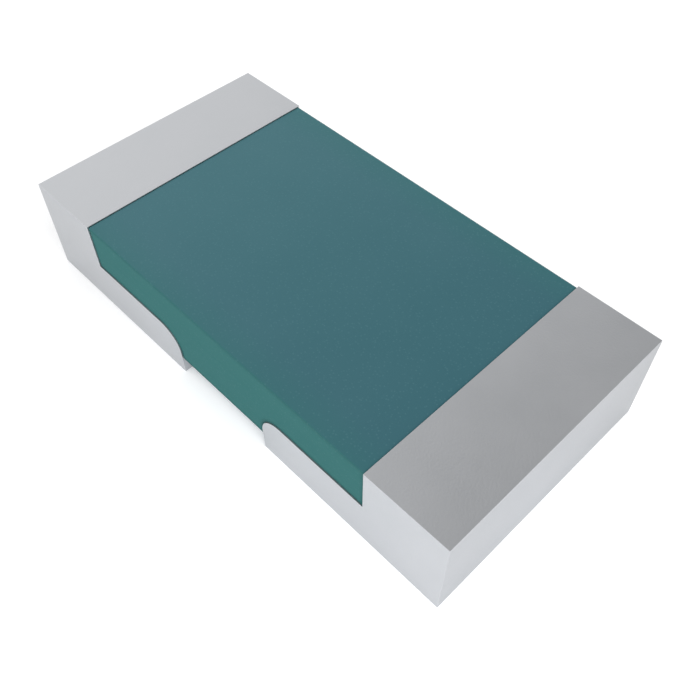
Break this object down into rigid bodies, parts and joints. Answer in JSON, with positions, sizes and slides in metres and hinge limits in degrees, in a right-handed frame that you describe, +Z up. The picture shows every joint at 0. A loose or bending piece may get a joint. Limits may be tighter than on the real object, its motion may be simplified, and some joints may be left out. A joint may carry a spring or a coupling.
{
  "type": "chip resistor",
  "caption": "Flat surface-mount chip resistor: a teal moulded body between plated end terminals whose lips reach in under it, with a resistive strip sealed inside.",
  "frame": {"origin": "centre of the chip's footprint, on the plane of its two solder pads", "axes": "+X along the chip towards the right terminal, +Y across the chip, +Z up from the board"},
  "size_m": [0.0032, 0.0016, 0.0006],
  "materials": {
    "tin_plate": "satin",
    "resistive_alloy": "satin",
    "teal_epoxy": "satin"
  },
  "bodies": {
    "root": {"left_terminal": "tin_plate", "right_terminal": "tin_plate", "resistive_strip": "resistive_alloy", "moulded_body": "teal_epoxy"}
  },
  "joints": []
}
